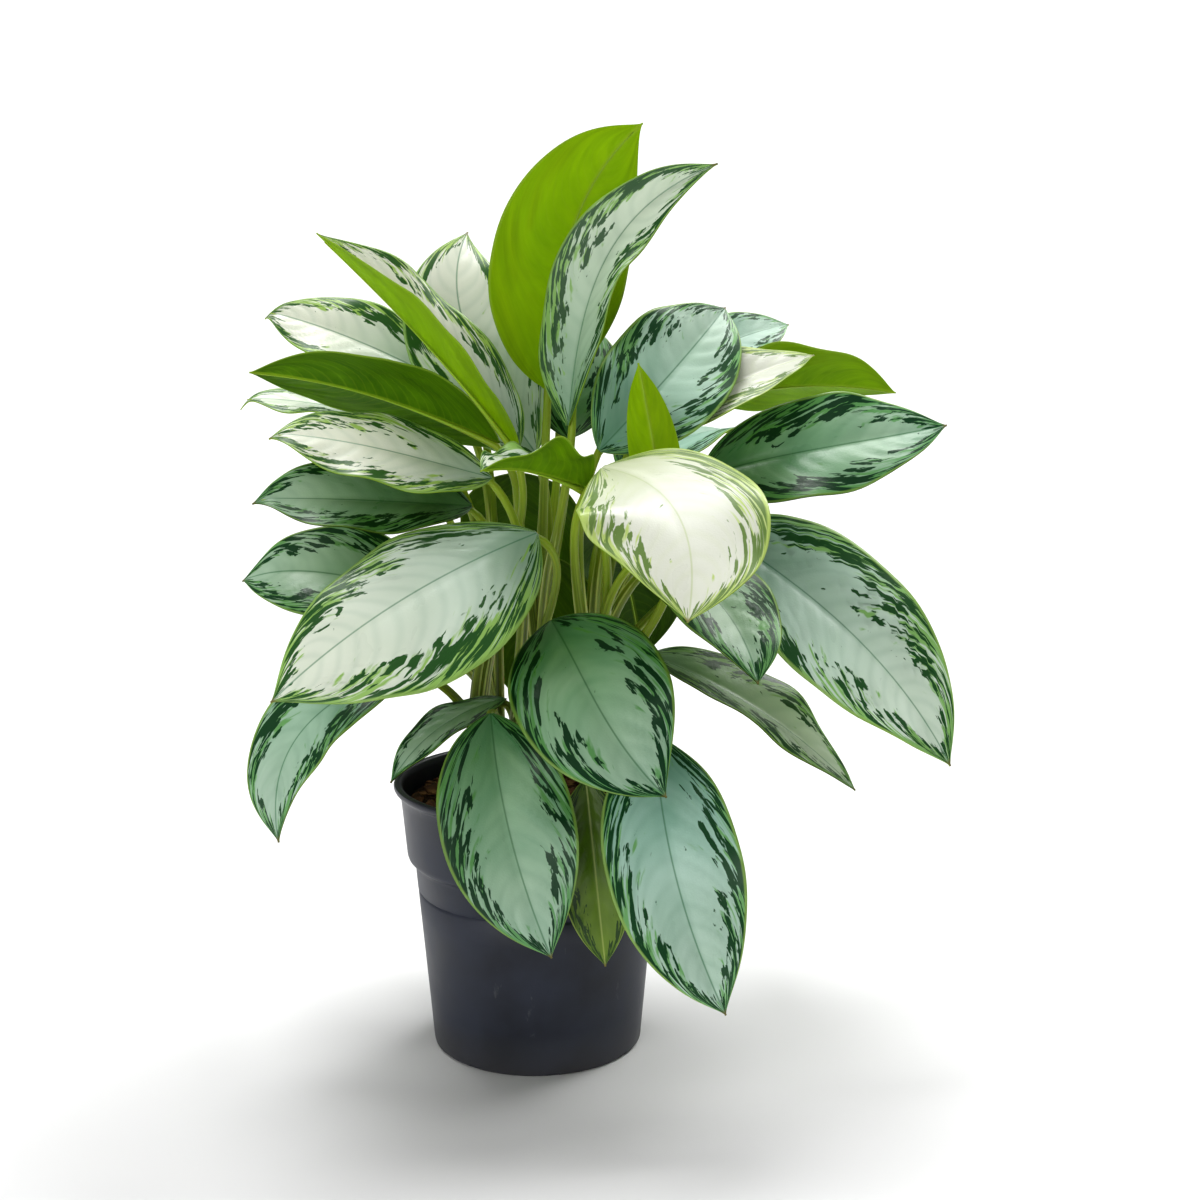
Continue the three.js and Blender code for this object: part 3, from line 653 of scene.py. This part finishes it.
def leafUnder(name, palette):
    # Underside of a living leaf: plain yellow green, paler along its raised veins, less waxy.
    # A painted backlight glow brightens it, and painted shade darkens it towards grey green.
    material, tree = newMaterial(name)
    reads = [addNode(tree, "ShaderNodeAttribute", {"attribute_name": key}, {}).outputs["Vector"]
             for key in leafReads]
    vein, zone, tone = [addNode(tree, "ShaderNodeSeparateXYZ", {}, {0: read}).outputs
                        for read in reads]
    spot = addNode(tree, "ShaderNodeMapping", {}, {"Vector": reads[0], "Scale": (70, 2, 1)})
    cloud = addNode(tree, "ShaderNodeTexNoise", {}, {
        "Vector": spot.outputs[0], "Scale": 1, "Detail": 4, "Roughness": 0.6}).outputs[0]
    shades = []
    # painted backlight: the glow share brightens an underside to the yellow green of a leaf lit
    # from behind
    for deep, light in (("deep", "body"), ("paintedBacklightDeep", "paintedBacklight")):
        ramp = addNode(tree, "ShaderNodeValToRGB", {}, {0: cloud})
        setRamp(ramp, [(0.3, linear(palette[deep])), (0.7, linear(palette[light]))])
        shades.append(ramp.outputs[0])
    # each second side vein lies in a crease of the blade, the others lie between
    phase = addNode(tree, "ShaderNodeMath", {"operation": "PINGPONG"}, {
        0: vein[0], 1: blade["veinSpacing"] / 4 * mm})
    outwards = addNode(tree, "ShaderNodeMath", {"operation": "ABSOLUTE"}, {0: vein[1]})
    masks = {}
    for key, read in (("sideVein", phase.outputs[0]), ("midrib", zone[1]),
                      ("margin", outwards.outputs[0])):
        low, high, first, last = underMasks[key]
        masks[key] = addNode(tree, "ShaderNodeMapRange", {"interpolation_type": "SMOOTHSTEP"}, {
            "Value": read, 1: low, 2: high, 3: first, 4: last}).outputs[0]
    colour = shades[0]
    for share, over in ((tone[1], shades[1]),
                        (masks["sideVein"], linear(palette["vein"])),
                        (masks["midrib"], linear(palette["vein"])),
                        (masks["margin"], linear(palette["margin"]))):
        colour = addNode(tree, "ShaderNodeMix", {"data_type": "RGBA"}, {
            0: share, 6: colour, 7: over}).outputs[2]
    # painted shade: undersides deep in the plant are multiplied towards a dark grey green
    colour = addNode(tree, "ShaderNodeMix", {"data_type": "RGBA", "blend_type": "MULTIPLY"}, {
        0: tone[2], 6: colour, 7: linear(palette["oliveAndPaintedShade"])}).outputs[2]
    relief = addNode(tree, "ShaderNodeMath", {"operation": "ADD"}, {0: masks["sideVein"], 1: cloud})
    bump = addNode(tree, "ShaderNodeBump", {}, {
        "Strength": 0.3, "Distance": 0.0006, "Height": relief.outputs[0]})
    shader = addNode(tree, "ShaderNodeBsdfPrincipled", {}, {
        "Base Color": colour, "Roughness": 0.55, "IOR": 1.4, "Specular IOR Level": 0.2,
        "Normal": bump.outputs[0]})
    through = addNode(tree, "ShaderNodeBsdfTranslucent", {}, {"Color": colour})
    both = addNode(tree, "ShaderNodeMixShader", {}, {
        0: 0.35, 1: shader.outputs[0], 2: through.outputs[0]})
    addNode(tree, "ShaderNodeOutputMaterial", {}, {"Surface": both.outputs[0]})
    return material


def stalkSkin(name, palette):
    # Fresh leaf stalk: smooth, slightly waxy, with fine lengthwise ribs and thin cream edges where
    # the sheath ends. Painted shade darkens it low down among the leaves.
    material, tree = newMaterial(name)
    place = addNode(tree, "ShaderNodeAttribute", {
        "attribute_name": "stemPlace"}, {}).outputs["Vector"]
    parts = addNode(tree, "ShaderNodeSeparateXYZ", {}, {0: place}).outputs
    height, kind = parts[0], parts[2]  # kind: 1 on a pale edge, below -1 under a blade
    # ribs less than a millimetre apart round the stalk
    spot = addNode(tree, "ShaderNodeMapping", {}, {"Vector": place, "Scale": (12, 1400, 0)})
    ribs = addNode(tree, "ShaderNodeTexNoise", {}, {
        "Vector": spot.outputs[0], "Scale": 1, "Detail": 2})
    # painted shade: the stalk is darkest at the soil and lightens up to 16 cm, for the shade low
    # among the leaves
    outOfPaintedShade = addNode(tree, "ShaderNodeMapRange", {}, {"Value": height, 1: 0, 2: 0.16})
    rib = addNode(tree, "ShaderNodeMapRange", {}, {
        "Value": ribs.outputs[0], 1: 0.35, 2: 0.7, 4: 0.5})
    edge = addNode(tree, "ShaderNodeMapRange", {"interpolation_type": "SMOOTHSTEP"}, {
        "Value": kind, 1: 0.15, 2: 0.8})
    under = addNode(tree, "ShaderNodeMapRange", {}, {"Value": kind, 1: -1, 2: -1.3, 3: 0, 4: 1})
    colour = linear(palette["low"])
    for share, over in ((outOfPaintedShade, "high"), (rib, "rib"), (edge, "sheathEdge"),
                        (under, "underBlade")):
        colour = addNode(tree, "ShaderNodeMix", {"data_type": "RGBA"}, {
            0: share.outputs[0], 6: colour, 7: linear(palette[over])}).outputs[2]
    bump = addNode(tree, "ShaderNodeBump", {}, {
        "Strength": 0.25, "Distance": 0.0005, "Height": ribs.outputs[0]})
    shader = addNode(tree, "ShaderNodeBsdfPrincipled", {}, {
        "Base Color": colour, "Roughness": 0.42, "IOR": 1.42, "Normal": bump.outputs[0],
        "Subsurface Weight": 0.15, "Subsurface Scale": 0.003})
    addNode(tree, "ShaderNodeOutputMaterial", {}, {"Surface": shader.outputs[0]})
    return material


# Each palette's dull colour is an olive tint that also serves as painted shade on leaves in shade.
leafPalettes = {
    "silver": {"silver": "#b3dccd", "silverShade": "#8abfab", "white": "#eff1e1", "neck": "#4a8a6b",
               "green": "#78b579", "freshGreen": "#b0cf62", "streak": "#114a29",
               "freshStreak": "#3d6b2c", "margin": "#98bd62", "midrib": "#46825c",
               "oliveAndPaintedShade": "#b4c18d", "tip": "#7d6a35"},
    "pale": {"silver": "#d6dac8", "silverShade": "#c8cfb8", "white": "#dfe1d4", "neck": "#c6d29a",
             "green": "#b0c66e", "freshGreen": "#bcd07c", "streak": "#4f7040",
             "freshStreak": "#718c4c", "margin": "#c3d97a", "midrib": "#c2cda0",
             "oliveAndPaintedShade": "#c6cb8e", "tip": "#7d6a35"},
    "young": {"silver": "#6f8f2c", "silverShade": "#4f7020", "white": "#93ad42", "neck": "#4c6622",
              "green": "#56781f", "freshGreen": "#6a9027", "streak": "#2c4a18",
              "freshStreak": "#3c641c", "margin": "#a3b85a", "midrib": "#b6c46e",
              "oliveAndPaintedShade": "#c6cb8e", "tip": "#7d6a35"},
}
# the glow colours are painted backlight on undersides; the dull colour is painted shade for
# undersides deep in the plant
underPalette = {"body": "#67940a", "deep": "#4a7408", "paintedBacklight": "#a8d003", "paintedBacklightDeep": "#92bd02",
                "vein": "#a9c836", "margin": "#a6c44a", "oliveAndPaintedShade": "#6e7a5c"}
# low is the painted shade colour of the stalks at the soil, high their colour higher up in the
# light
stalkPalette = {"low": "#38460e", "high": "#7d961c", "rib": "#a4b63a", "sheathEdge": "#c9d67e",
                "underBlade": "#93b52c"}

underSkin = leafUnder("leafUnderside", underPalette)
skins = {key: (leafUpper(f"{key}LeafWax", palette), underSkin)
         for key, palette in leafPalettes.items()}
stalk = stalkSkin("freshStalk", stalkPalette)

leaves = [readLeaf(row) for row in leafRows]
for number, leaf in enumerate(leaves, 1):
    piece = makeBlade(leaf, number, skins)
    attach(piece, "root")
    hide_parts(f"leaf_{number:02d}")
print("blades:", len(leaves))

for index, key in enumerate(shoots, 1):
    own = [(number, leaf) for number, leaf in enumerate(leaves, 1) if leaf["shoot"] == key]
    tubes = [makeCane(key, index)]
    for order, (number, leaf) in enumerate(own):
        share = mixed(petiole["highest"], petiole["lowest"], order / max(len(own) - 1, 1))
        tubes.append(makePetiole(leaf, number, key, share))
    shoot = joinPieces(f"shoot{index}", tubes)
    shoot.data.materials.clear()
    shoot.data.materials.append(stalk)
    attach(shoot, "root")
    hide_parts(f"stem_{index}")
print("shoots:", len(shoots))


# The pot: blow-moulded nursery pot, drawn as rings from the middle of its underside to its rim
# and back down inside.

pot = {
    "sides": 128,
    "rings": [  # radius and height
        (20, 0), (50, 0), (67.4, 0), (69.3, 0.4), (70.3, 1.4), (70.6, 3.5),  # underside and foot
        (72.9, 30), (75.6, 60), (78.3, 90), (79.7, 105.9),  # wall
        (79.3, 106.7), (79.0, 107.5), (79.4, 108.3), (80.1, 109.2), (81.4, 124.8),  # groove, ridge
        (81.7, 126.6), (82.6, 127.8), (84.6, 129.2), (86.0, 130.6), (86.6, 132.4),  # step outwards
        (86.8, 134), (87.8, 145), (88.9, 157), (90.1, 169), (90.5, 173.2),  # collar
        (91.2, 175), (92.8, 176.2), (94.2, 177), (94.9, 178.3), (95.0, 179.5), (94.6, 180.7),
        (93.6, 181.4), (92.2, 181.5), (90.8, 181.1), (89.6, 180),  # rolled rim
        (88.7, 176), (88.2, 170), (86.8, 156), (85.4, 143), (84.6, 135.4),  # inside, downwards
        (83.6, 133), (81, 130.6), (79.6, 128.4), (79.2, 126), (77.6, 107), (75.9, 88), (73.4, 60),
        (70.8, 30), (68.7, 6.4), (67.4, 4), (65.4, 3.1), (50, 3), (20, 3)],
    "smoothAngle": 35,
    "drainHoles": 6,
    "drainHoleSides": 32,
    "drainHoleRadius": 5,
    "drainHoleDepth": 12,
    "drainCircle": 48,
    "notches": 8,  # small water notches round the foot
    "notchCircle": 70.4,
    "notchSize": (3, 9, 4.8),  # the lower half is under the pot
    "notchRounding": 1.2,
    "notchTurn": 0.18,  # radians from the front
}


def drawRings(name, rings, sides):
    deselectAll()
    radius, height = rings[0]
    bpy.ops.mesh.primitive_circle_add(vertices=sides, radius=radius * mm,
                                      location=(0, 0, height * mm))
    piece = bpy.context.object
    piece.name = piece.data.name = name
    bpy.ops.object.transform_apply(location=True)
    bpy.ops.object.mode_set(mode="EDIT")
    bpy.ops.mesh.select_all(action="SELECT")
    bpy.ops.mesh.edge_face_add()
    bpy.ops.mesh.select_mode(type="EDGE")
    for (r0, z0), (r1, z1) in zip(rings, rings[1:]):
        lift = {"value": (0, 0, (z1 - z0) * mm)}
        if (r0, z0) == rings[0]:
            bpy.ops.mesh.extrude_edges_move(TRANSFORM_OT_translate=lift)
        else:
            bpy.ops.mesh.extrude_region_move(TRANSFORM_OT_translate=lift)
        bpy.ops.transform.resize(value=(r1 / r0, r1 / r0, 1), center_override=(0, 0, z1 * mm))
    bpy.ops.mesh.edge_face_add()
    bpy.ops.mesh.select_all(action="SELECT")
    bpy.ops.mesh.normals_make_consistent(inside=False)
    bpy.ops.object.mode_set(mode="OBJECT")
    return piece


def cutAway(piece, cutters):
    for cutter in cutters:
        applyModifier(piece, "BOOLEAN", operation="DIFFERENCE", solver="EXACT", object=cutter)
        bpy.data.objects.remove(cutter)


def mouldedPlastic():
    # Polypropylene with carbon grey colour, blow moulded: a fine leathery grain, dull sheen, dust
    # and pale scuffs from handling.
    material, tree = newMaterial("mouldedPolypropylene")
    place = addNode(tree, "ShaderNodeTexCoord", {}, {}).outputs["Object"]
    # leathery grain of 0.9 mm
    grain = addNode(tree, "ShaderNodeTexNoise", {}, {"Vector": place, "Scale": 1100, "Detail": 2})
    flow = addNode(tree, "ShaderNodeTexNoise", {}, {"Vector": place, "Scale": 26, "Detail": 4})
    scuffPlace = addNode(tree, "ShaderNodeMapping", {}, {"Vector": place, "Scale": (90, 90, 30)})
    scuffs = addNode(tree, "ShaderNodeTexNoise", {}, {
        "Vector": scuffPlace.outputs[0], "Scale": 1, "Detail": 6, "Roughness": 0.7})
    base = addNode(tree, "ShaderNodeValToRGB", {}, {0: flow.outputs[0]})
    setRamp(base, [(0.35, linear("#1f232e")), (0.65, linear("#292e3c"))])
    mark = addNode(tree, "ShaderNodeMapRange", {}, {
        "Value": scuffs.outputs[0], 1: 0.64, 2: 0.8, 4: 0.35})
    height = addNode(tree, "ShaderNodeSeparateXYZ", {}, {0: place})
    low = addNode(tree, "ShaderNodeMapRange", {}, {
        "Value": height.outputs[2], 1: 0.03, 2: 0, 4: 0.18})
    colour = base.outputs[0]
    for share, over in ((mark, "#8b8a88"), (low, "#77736c")):  # scuffs, then dust near the floor
        colour = addNode(tree, "ShaderNodeMix", {"data_type": "RGBA"}, {
            0: share.outputs[0], 6: colour, 7: linear(over)}).outputs[2]
    rough = addNode(tree, "ShaderNodeMapRange", {}, {
        "Value": flow.outputs[0], 1: 0.3, 2: 0.7, 3: 0.36, 4: 0.5})
    bump = addNode(tree, "ShaderNodeBump", {}, {
        "Strength": 0.12, "Distance": 0.0004, "Height": grain.outputs[0]})
    shader = addNode(tree, "ShaderNodeBsdfPrincipled", {}, {
        "Base Color": colour, "Roughness": rough.outputs[0], "IOR": 1.49,
        "Normal": bump.outputs[0]})
    addNode(tree, "ShaderNodeOutputMaterial", {}, {"Surface": shader.outputs[0]})
    return material


potShell = drawRings("potShell", pot["rings"], pot["sides"])
cutters = []
for hole in range(pot["drainHoles"]):
    turn = 2 * math.pi * (hole + 0.5) / pot["drainHoles"]
    place = Vector((math.cos(turn), math.sin(turn), 0)) * pot["drainCircle"] * mm
    deselectAll()
    bpy.ops.mesh.primitive_cylinder_add(
        vertices=pot["drainHoleSides"], radius=pot["drainHoleRadius"] * mm,
        depth=pot["drainHoleDepth"] * mm, location=place)
    cutters.append(bpy.context.object)
for notch in range(pot["notches"]):
    turn = pot["notchTurn"] + 2 * math.pi * notch / pot["notches"] - math.pi / 2
    place = Vector((math.cos(turn), math.sin(turn), 0)) * pot["notchCircle"] * mm
    deselectAll()
    bpy.ops.mesh.primitive_cube_add(size=1, location=place, rotation=(0, 0, turn),
                                    scale=Vector(pot["notchSize"]) * mm)
    cutters.append(bpy.context.object)
    applyModifier(cutters[-1], "BEVEL", width=pot["notchRounding"] * mm, segments=3)
cutAway(potShell, cutters)
potShell.data.materials.clear()
potShell.data.materials.append(mouldedPlastic())
smoothByAngle(potShell, pot["smoothAngle"])
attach(potShell, "root")
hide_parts("pot")
print("pot done")


# The potting mix, with bark chips lying on it

soil = {
    "sides": 120,
    "rings": [(30, 3.4), (64, 3.4), (67.8, 6.5), (70.2, 30), (75, 86), (78.6, 126), (80, 131),
              (84, 135), (84.8, 160)],
    "topRings": 26,
    "crown": 3,
    "edgeHeight": 167,
    "edgeRadius": 84.8,
    "topDepth": 2,  # rings this near to the top get lumps
    "lumps": 1.6,
    "lumpsPerMm": 0.06,
    "lumpSlice": 4.1,
    "lumpLayers": (0.9, 2.1, 4),  # how fast they fade, how much finer each is, how many
}

bark = {
    "kinds": 6,
    "chips": 520,
    "seed": 11,
    "length": (5, 13),
    "breadth": (0.4, 0.8),  # breadth and thickness as shares of the length
    "thickness": (0.16, 0.35),
    "chamfer": 0.12,
    "jitter": 0.16,
    "taper": 0.35,
    "tilt": 0.5,
    "rise": 0.6,  # the middle of a chip over the soil
    "fromPot": 4,
    "fromShoots": 11,
    "smoothAngle": 30,
}


def soilHeight(x, y):
    away = math.hypot(x, y) / soil["edgeRadius"]
    spot = Vector((x * soil["lumpsPerMm"], y * soil["lumpsPerMm"], soil["lumpSlice"]))
    lump = noise.fractal(spot, *soil["lumpLayers"])
    return soil["edgeHeight"] + soil["crown"] * (1 - away * away) + soil["lumps"] * lump


def pottingMix():
    # Peat and composted bark: dark crumbs of mixed browns with no shine.
    material, tree = newMaterial("pottingMix")
    place = addNode(tree, "ShaderNodeTexCoord", {}, {}).outputs["Object"]
    # crumbs of 2.4 mm
    crumbs = addNode(tree, "ShaderNodeTexVoronoi", {}, {"Vector": place, "Scale": 420})
    clods = addNode(tree, "ShaderNodeTexNoise", {}, {"Vector": place, "Scale": 110, "Detail": 5})
    colour = addNode(tree, "ShaderNodeValToRGB", {}, {0: clods.outputs[0]})
    setRamp(colour, [(0.3, linear("#1f150e")), (0.5, linear("#38261a")), (0.72, linear("#5a3f2a"))])
    bump = addNode(tree, "ShaderNodeBump", {}, {
        "Strength": 0.9, "Distance": 0.002, "Height": crumbs.outputs["Distance"]})
    shader = addNode(tree, "ShaderNodeBsdfPrincipled", {}, {
        "Base Color": colour.outputs[0], "Roughness": 0.95, "Specular IOR Level": 0.2,
        "Normal": bump.outputs[0]})
    addNode(tree, "ShaderNodeOutputMaterial", {}, {"Surface": shader.outputs[0]})
    return material


def barkSkin():
    # Pine bark chips: red brown flakes with a fibrous, split surface.
    material, tree = newMaterial("pineBark")
    place = addNode(tree, "ShaderNodeTexCoord", {}, {}).outputs["Object"]
    patches = addNode(tree, "ShaderNodeTexNoise", {}, {"Vector": place, "Scale": 95, "Detail": 3})
    fibres = addNode(tree, "ShaderNodeTexNoise", {}, {"Vector": place, "Scale": 900, "Detail": 3})
    colour = addNode(tree, "ShaderNodeValToRGB", {}, {0: patches.outputs[0]})
    setRamp(colour, [(0.32, linear("#3a2518")), (0.5, linear("#694329")),
                     (0.68, linear("#96704a"))])
    bump = addNode(tree, "ShaderNodeBump", {}, {
        "Strength": 0.6, "Distance": 0.001, "Height": fibres.outputs[0]})
    shader = addNode(tree, "ShaderNodeBsdfPrincipled", {}, {
        "Base Color": colour.outputs[0], "Roughness": 0.88, "Normal": bump.outputs[0]})
    addNode(tree, "ShaderNodeOutputMaterial", {}, {"Surface": shader.outputs[0]})
    return material


soilRings = soil["rings"] + [
    (soil["edgeRadius"] * ring / soil["topRings"], soil["edgeHeight"])
    for ring in range(soil["topRings"], 0, -1)]
soilBed = drawRings("soilBed", soilRings, soil["sides"])
for vertex in soilBed.data.vertices:
    if vertex.co.z > (soil["edgeHeight"] - soil["topDepth"]) * mm:
        vertex.co.z = soilHeight(vertex.co.x / mm, vertex.co.y / mm) * mm
soilBed.data.materials.append(pottingMix())
makeActive(soilBed)
bpy.ops.object.shade_smooth()
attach(soilBed, "root")
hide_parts("soil")

random.seed(bark["seed"])
chips = []
for kind in range(bark["kinds"]):  # a few shapes of chip, copied
    deselectAll()
    bpy.ops.mesh.primitive_cube_add(size=1)
    chip = bpy.context.object
    applyModifier(chip, "BEVEL", width=bark["chamfer"], segments=1)
    for vertex in chip.data.vertices:
        vertex.co += Vector([random.uniform(-bark["jitter"], bark["jitter"]) for axis in range(3)])
        vertex.co.x *= 1 - bark["taper"] * vertex.co.y * random.random()
    chips.append(chip)
laid = []
while len(laid) < bark["chips"]:
    away = (soil["edgeRadius"] - bark["fromPot"]) * math.sqrt(random.random())
    turn = random.uniform(0, 2 * math.pi)
    x, y = away * math.cos(turn), away * math.sin(turn)
    if any(math.hypot(x - foot[0], y - foot[1]) < bark["fromShoots"]
           for foot, top in shoots.values()):
        continue
    chip = random.choice(chips)
    copy = bpy.data.objects.new("chip", chip.data.copy())
    bpy.context.collection.objects.link(copy)
    length = random.uniform(*bark["length"]) * mm
    size = Vector((length, length * random.uniform(*bark["breadth"]),
                   length * random.uniform(*bark["thickness"])))
    tilt = random.uniform(-bark["tilt"], bark["tilt"])
    tilt = Quaternion((math.cos(turn), math.sin(turn), 0), tilt)
    spin = Quaternion((0, 0, 1), random.uniform(0, 2 * math.pi))
    middle = Vector((x, y, soilHeight(x, y) + bark["rise"])) * mm
    for vertex in copy.data.vertices:
        vertex.co = middle + tilt @ (spin @ Vector([c * s for c, s in zip(vertex.co, size)]))
    laid.append(copy)
for chip in chips:
    bpy.data.objects.remove(chip)
barkChips = joinPieces("barkChips", laid)
barkChips.data.materials.append(barkSkin())
smoothByAngle(barkChips, bark["smoothAngle"])
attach(barkChips, "root")
print("potting mix done:", len(laid), "chips")


# Floor, light and camera

stage = {
    "size": 60,
    "paper": "#e3e3e3",
    "backdrop": 1.0,  # white that the camera sees behind the plant
    "skyLight": 0.24,  # even light from all round
    "suns": [  # name, where it shines from, strength, apparent size in degrees
        ("keyLight", (-0.3, 0.5, 1.6), 2.1, 32),
        ("backLight", (0.8, 0.9, 1.4), 1.8, 36),
        ("frontLight", (-0.5, -1.0, 0.25), 1.15, 50),
    ],
    "lens": 54,
    "sensorWidth": 36,
    "cameraPlace": (0.0427, -1.165, 0.514),
    "cameraTilt": 10.3,  # degrees down from level
}

deselectAll()
bpy.ops.mesh.primitive_plane_add(size=stage["size"])
floor = bpy.context.object
floor.name = "floor"
material, tree = newMaterial("paperFloor")  # matt white studio paper
paper = addNode(tree, "ShaderNodeBsdfPrincipled", {}, {
    "Base Color": linear(stage["paper"]), "Roughness": 0.9})
addNode(tree, "ShaderNodeOutputMaterial", {}, {"Surface": paper.outputs[0]})
floor.data.materials.append(material)

world = bpy.data.worlds.new("studio")
world.use_nodes = True
tree = world.node_tree
tree.nodes.clear()
seen, cast = [addNode(tree, "ShaderNodeBackground", {}, {
    "Color": (1, 1, 1, 1), "Strength": stage[key]}) for key in ("backdrop", "skyLight")]
rays = addNode(tree, "ShaderNodeLightPath", {}, {})
sky = addNode(tree, "ShaderNodeMixShader", {}, {
    0: rays.outputs["Is Camera Ray"], 1: cast.outputs[0], 2: seen.outputs[0]})
addNode(tree, "ShaderNodeOutputWorld", {}, {"Surface": sky.outputs[0]})
bpy.context.scene.world = world

for name, place, strength, size in stage["suns"]:
    lamp = bpy.data.lights.new(name, "SUN")
    lamp.energy = strength
    lamp.angle = math.radians(size)
    holder = bpy.data.objects.new(name, lamp)
    holder.location = place
    holder.rotation_euler = Vector(place).to_track_quat("Z", "Y").to_euler()
    bpy.context.collection.objects.link(holder)

camera = bpy.data.cameras.new("camera")
camera.lens = stage["lens"]
camera.sensor_width = stage["sensorWidth"]
holder = bpy.data.objects.new("camera", camera)
holder.location = stage["cameraPlace"]
holder.rotation_euler = (math.radians(90 - stage["cameraTilt"]), 0, 0)
bpy.context.collection.objects.link(holder)
bpy.context.scene.camera = holder
bpy.context.scene.view_settings.view_transform = "Standard"
bpy.context.scene.view_settings.look = "Medium High Contrast"
print("floor, light and camera done")
